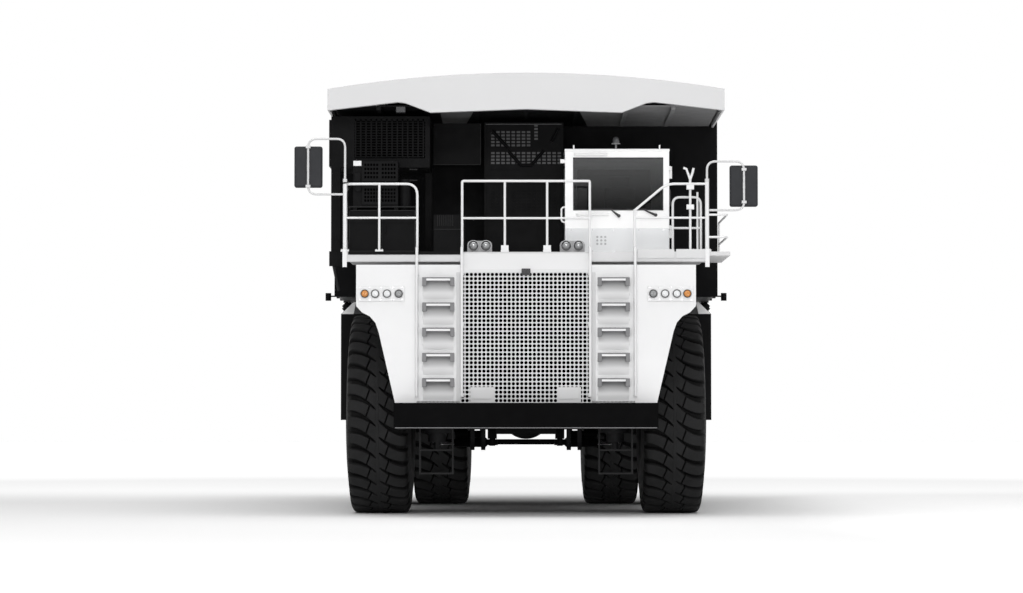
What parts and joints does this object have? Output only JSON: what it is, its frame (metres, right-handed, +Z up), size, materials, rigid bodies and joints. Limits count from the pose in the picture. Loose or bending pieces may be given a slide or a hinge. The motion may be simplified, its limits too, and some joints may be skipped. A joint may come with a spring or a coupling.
{
  "type": "mining dump truck",
  "caption": "Rigid rear-tipping mining dump truck with offset cab, twin rear wheels, steered front wheels and a hoisted open dump body.",
  "frame": {"origin": "middle of the truck's plan at the ground", "axes": "+Z up, -Y is the front, +X is the truck's left (the cab side)"},
  "size_m": [6.898, 11.4, 6.6],
  "materials": {
    "white_paint": "satin",
    "grille_paint": "satin",
    "deck_paint": "satin",
    "body_black": "satin",
    "chassis_black": "satin",
    "equipment_black": "matte",
    "cast_parts": "painted",
    "tyre_rubber": "matte",
    "rim_paint": "satin",
    "glass": "tinted",
    "lamp_clear": "clear",
    "lamp_amber": "gloss",
    "seat_fabric": "woven",
    "dark_plastic": "matte",
    "chrome_rod": "polished"
  },
  "bodies": {
    "chassis": {"frame": "chassis_black", "bumper": "chassis_black", "front_struts": "chassis_black", "rear_axle": "cast_parts", "power_block": "cast_parts", "hood": "white_paint", "grille": "grille_paint", "fender_panels": "white_paint", "step_panels": "white_paint", "decks": "deck_paint", "guard_rails": "white_paint", "mirror_arms": "white_paint", "mirror_heads": "dark_plastic", "cab_shell": "white_paint", "cab_glass": "glass", "cab_seat": "seat_fabric", "cab_console": "dark_plastic", "cab_fittings": "dark_plastic", "grid_box": "equipment_black", "electrical_cabinets": "equipment_black", "cooling_rack": "equipment_black", "side_tanks": "body_black", "head_lamps": "lamp_clear", "amber_lamps": "lamp_amber", "deck_lamps": "lamp_clear", "boarding_ladders": "chassis_black"},
    "knuckle_left": {"knuckle_left": "cast_parts"},
    "front_wheel_left": {"front_rim_left": "rim_paint", "front_tyre_left": "tyre_rubber"},
    "rear_wheels_left": {"rear_rims_left": "rim_paint", "rear_tyres_left": "tyre_rubber"},
    "steer_barrel_left": {"steer_barrel_left": "chassis_black"},
    "steer_rod_left": {"steer_rod_left": "chrome_rod"},
    "hoist_barrel_left": {"hoist_barrel_left": "chassis_black"},
    "hoist_stage_left": {"hoist_stage_left": "chrome_rod"},
    "hoist_rod_left": {"hoist_rod_left": "chrome_rod"},
    "knuckle_right": {"knuckle_right": "cast_parts"},
    "front_wheel_right": {"front_rim_right": "rim_paint", "front_tyre_right": "tyre_rubber"},
    "rear_wheels_right": {"rear_rims_right": "rim_paint", "rear_tyres_right": "tyre_rubber"},
    "steer_barrel_right": {"steer_barrel_right": "chassis_black"},
    "steer_rod_right": {"steer_rod_right": "chrome_rod"},
    "hoist_barrel_right": {"hoist_barrel_right": "chassis_black"},
    "hoist_stage_right": {"hoist_stage_right": "chrome_rod"},
    "hoist_rod_right": {"hoist_rod_right": "chrome_rod"},
    "tie_rod": {"tie_rod": "chassis_black"},
    "cab_door": {"cab_door": "white_paint", "door_glass": "glass"},
    "dump_body": {"body_floor": "body_black", "body_sides": "body_black", "body_headboard": "body_black", "body_canopy": "white_paint"}
  },
  "joints": [
    {"name": "steer_left", "type": "hinge", "parent": "chassis", "child": "knuckle_left", "pos_m": [1.38, -3.2, 1.53], "axis": [0, 0, 1], "range_deg": [-36, 36]},
    {"name": "steer_right", "type": "hinge", "parent": "chassis", "child": "knuckle_right", "pos_m": [-1.38, -3.2, 1.53], "axis": [0, 0, 1], "range_deg": [-36.5, 36.5]},
    {"name": "tie_rod_swing", "type": "hinge", "parent": "knuckle_left", "child": "tie_rod", "pos_m": [1.38, -2.5, 1.09], "axis": [0, 0, 1], "range_deg": [-36.5, 36.5]},
    {"name": "steer_barrel_left_swing", "type": "hinge", "parent": "chassis", "child": "steer_barrel_left", "pos_m": [0.52, -3.5, 1.09], "axis": [0, 0, 1], "range_deg": [-8.5, 8.5]},
    {"name": "steer_rod_left_slide", "type": "slide", "parent": "steer_barrel_left", "child": "steer_rod_left", "axis": [0.7668, 0.6419, 0], "range_m": [-0.2, 0.2]},
    {"name": "steer_barrel_right_swing", "type": "hinge", "parent": "chassis", "child": "steer_barrel_right", "pos_m": [-0.52, -3.5, 1.09], "axis": [0, 0, 1], "range_deg": [-8.5, 8.5]},
    {"name": "steer_rod_right_slide", "type": "slide", "parent": "steer_barrel_right", "child": "steer_rod_right", "axis": [-0.7668, 0.6419, 0], "range_m": [-0.2, 0.2]},
    {"name": "front_wheel_left_spin", "type": "hinge", "parent": "knuckle_left", "child": "front_wheel_left", "pos_m": [2.237, -3.2, 1.53], "axis": [1, 0, 0], "continuous": true},
    {"name": "front_wheel_right_spin", "type": "hinge", "parent": "knuckle_right", "child": "front_wheel_right", "pos_m": [-2.237, -3.2, 1.53], "axis": [1, 0, 0], "continuous": true},
    {"name": "rear_wheels_left_spin", "type": "hinge", "parent": "chassis", "child": "rear_wheels_left", "pos_m": [1.998, 2, 1.53], "axis": [1, 0, 0], "continuous": true},
    {"name": "rear_wheels_right_spin", "type": "hinge", "parent": "chassis", "child": "rear_wheels_right", "pos_m": [-1.998, 2, 1.53], "axis": [1, 0, 0], "continuous": true},
    {"name": "body_tip", "type": "hinge", "parent": "chassis", "child": "dump_body", "pos_m": [0, 3.15, 2.05], "axis": [-1, 0, 0], "range_deg": [0, 45]},
    {"name": "hoist_left_swing", "type": "hinge", "parent": "chassis", "child": "hoist_barrel_left", "pos_m": [1.05, -0.15, 1.2], "axis": [-1, 0, 0], "range_deg": [0, 29.5]},
    {"name": "hoist_left_stage_slide", "type": "slide", "parent": "hoist_barrel_left", "child": "hoist_stage_left", "axis": [0, -0.1601, 0.9871], "range_m": [0, 1.26]},
    {"name": "hoist_left_rod_slide", "type": "slide", "parent": "hoist_stage_left", "child": "hoist_rod_left", "axis": [0, -0.1601, 0.9871], "range_m": [0, 1.26]},
    {"name": "hoist_right_swing", "type": "hinge", "parent": "chassis", "child": "hoist_barrel_right", "pos_m": [-1.05, -0.15, 1.2], "axis": [-1, 0, 0], "range_deg": [0, 29.5]},
    {"name": "hoist_right_stage_slide", "type": "slide", "parent": "hoist_barrel_right", "child": "hoist_stage_right", "axis": [0, -0.1601, 0.9871], "range_m": [0, 1.26]},
    {"name": "hoist_right_rod_slide", "type": "slide", "parent": "hoist_stage_right", "child": "hoist_rod_right", "axis": [0, -0.1601, 0.9871], "range_m": [0, 1.26]},
    {"name": "cab_door_swing", "type": "hinge", "parent": "chassis", "child": "cab_door", "pos_m": [2.188, -4.42, 4.7], "axis": [0, 0, -1], "range_deg": [0, 75]}
  ],
  "couplings": [
    {"joint": "steer_right", "follows": "steer_left", "ratio": 1},
    {"joint": "tie_rod_swing", "follows": "steer_left", "ratio": -1},
    {"joint": "steer_barrel_left_swing", "follows": "steer_left", "ratio": 0.225},
    {"joint": "steer_rod_left_slide", "follows": "steer_left", "m_per_rad": -0.3125},
    {"joint": "steer_barrel_right_swing", "follows": "steer_left", "ratio": 0.225},
    {"joint": "steer_rod_right_slide", "follows": "steer_left", "m_per_rad": 0.3125},
    {"joint": "hoist_left_swing", "follows": "body_tip", "ratio": 0.64},
    {"joint": "hoist_left_stage_slide", "follows": "body_tip", "m_per_rad": 1.58},
    {"joint": "hoist_left_rod_slide", "follows": "body_tip", "m_per_rad": 1.58},
    {"joint": "hoist_right_swing", "follows": "body_tip", "ratio": 0.64},
    {"joint": "hoist_right_stage_slide", "follows": "body_tip", "m_per_rad": 1.58},
    {"joint": "hoist_right_rod_slide", "follows": "body_tip", "m_per_rad": 1.58}
  ]
}
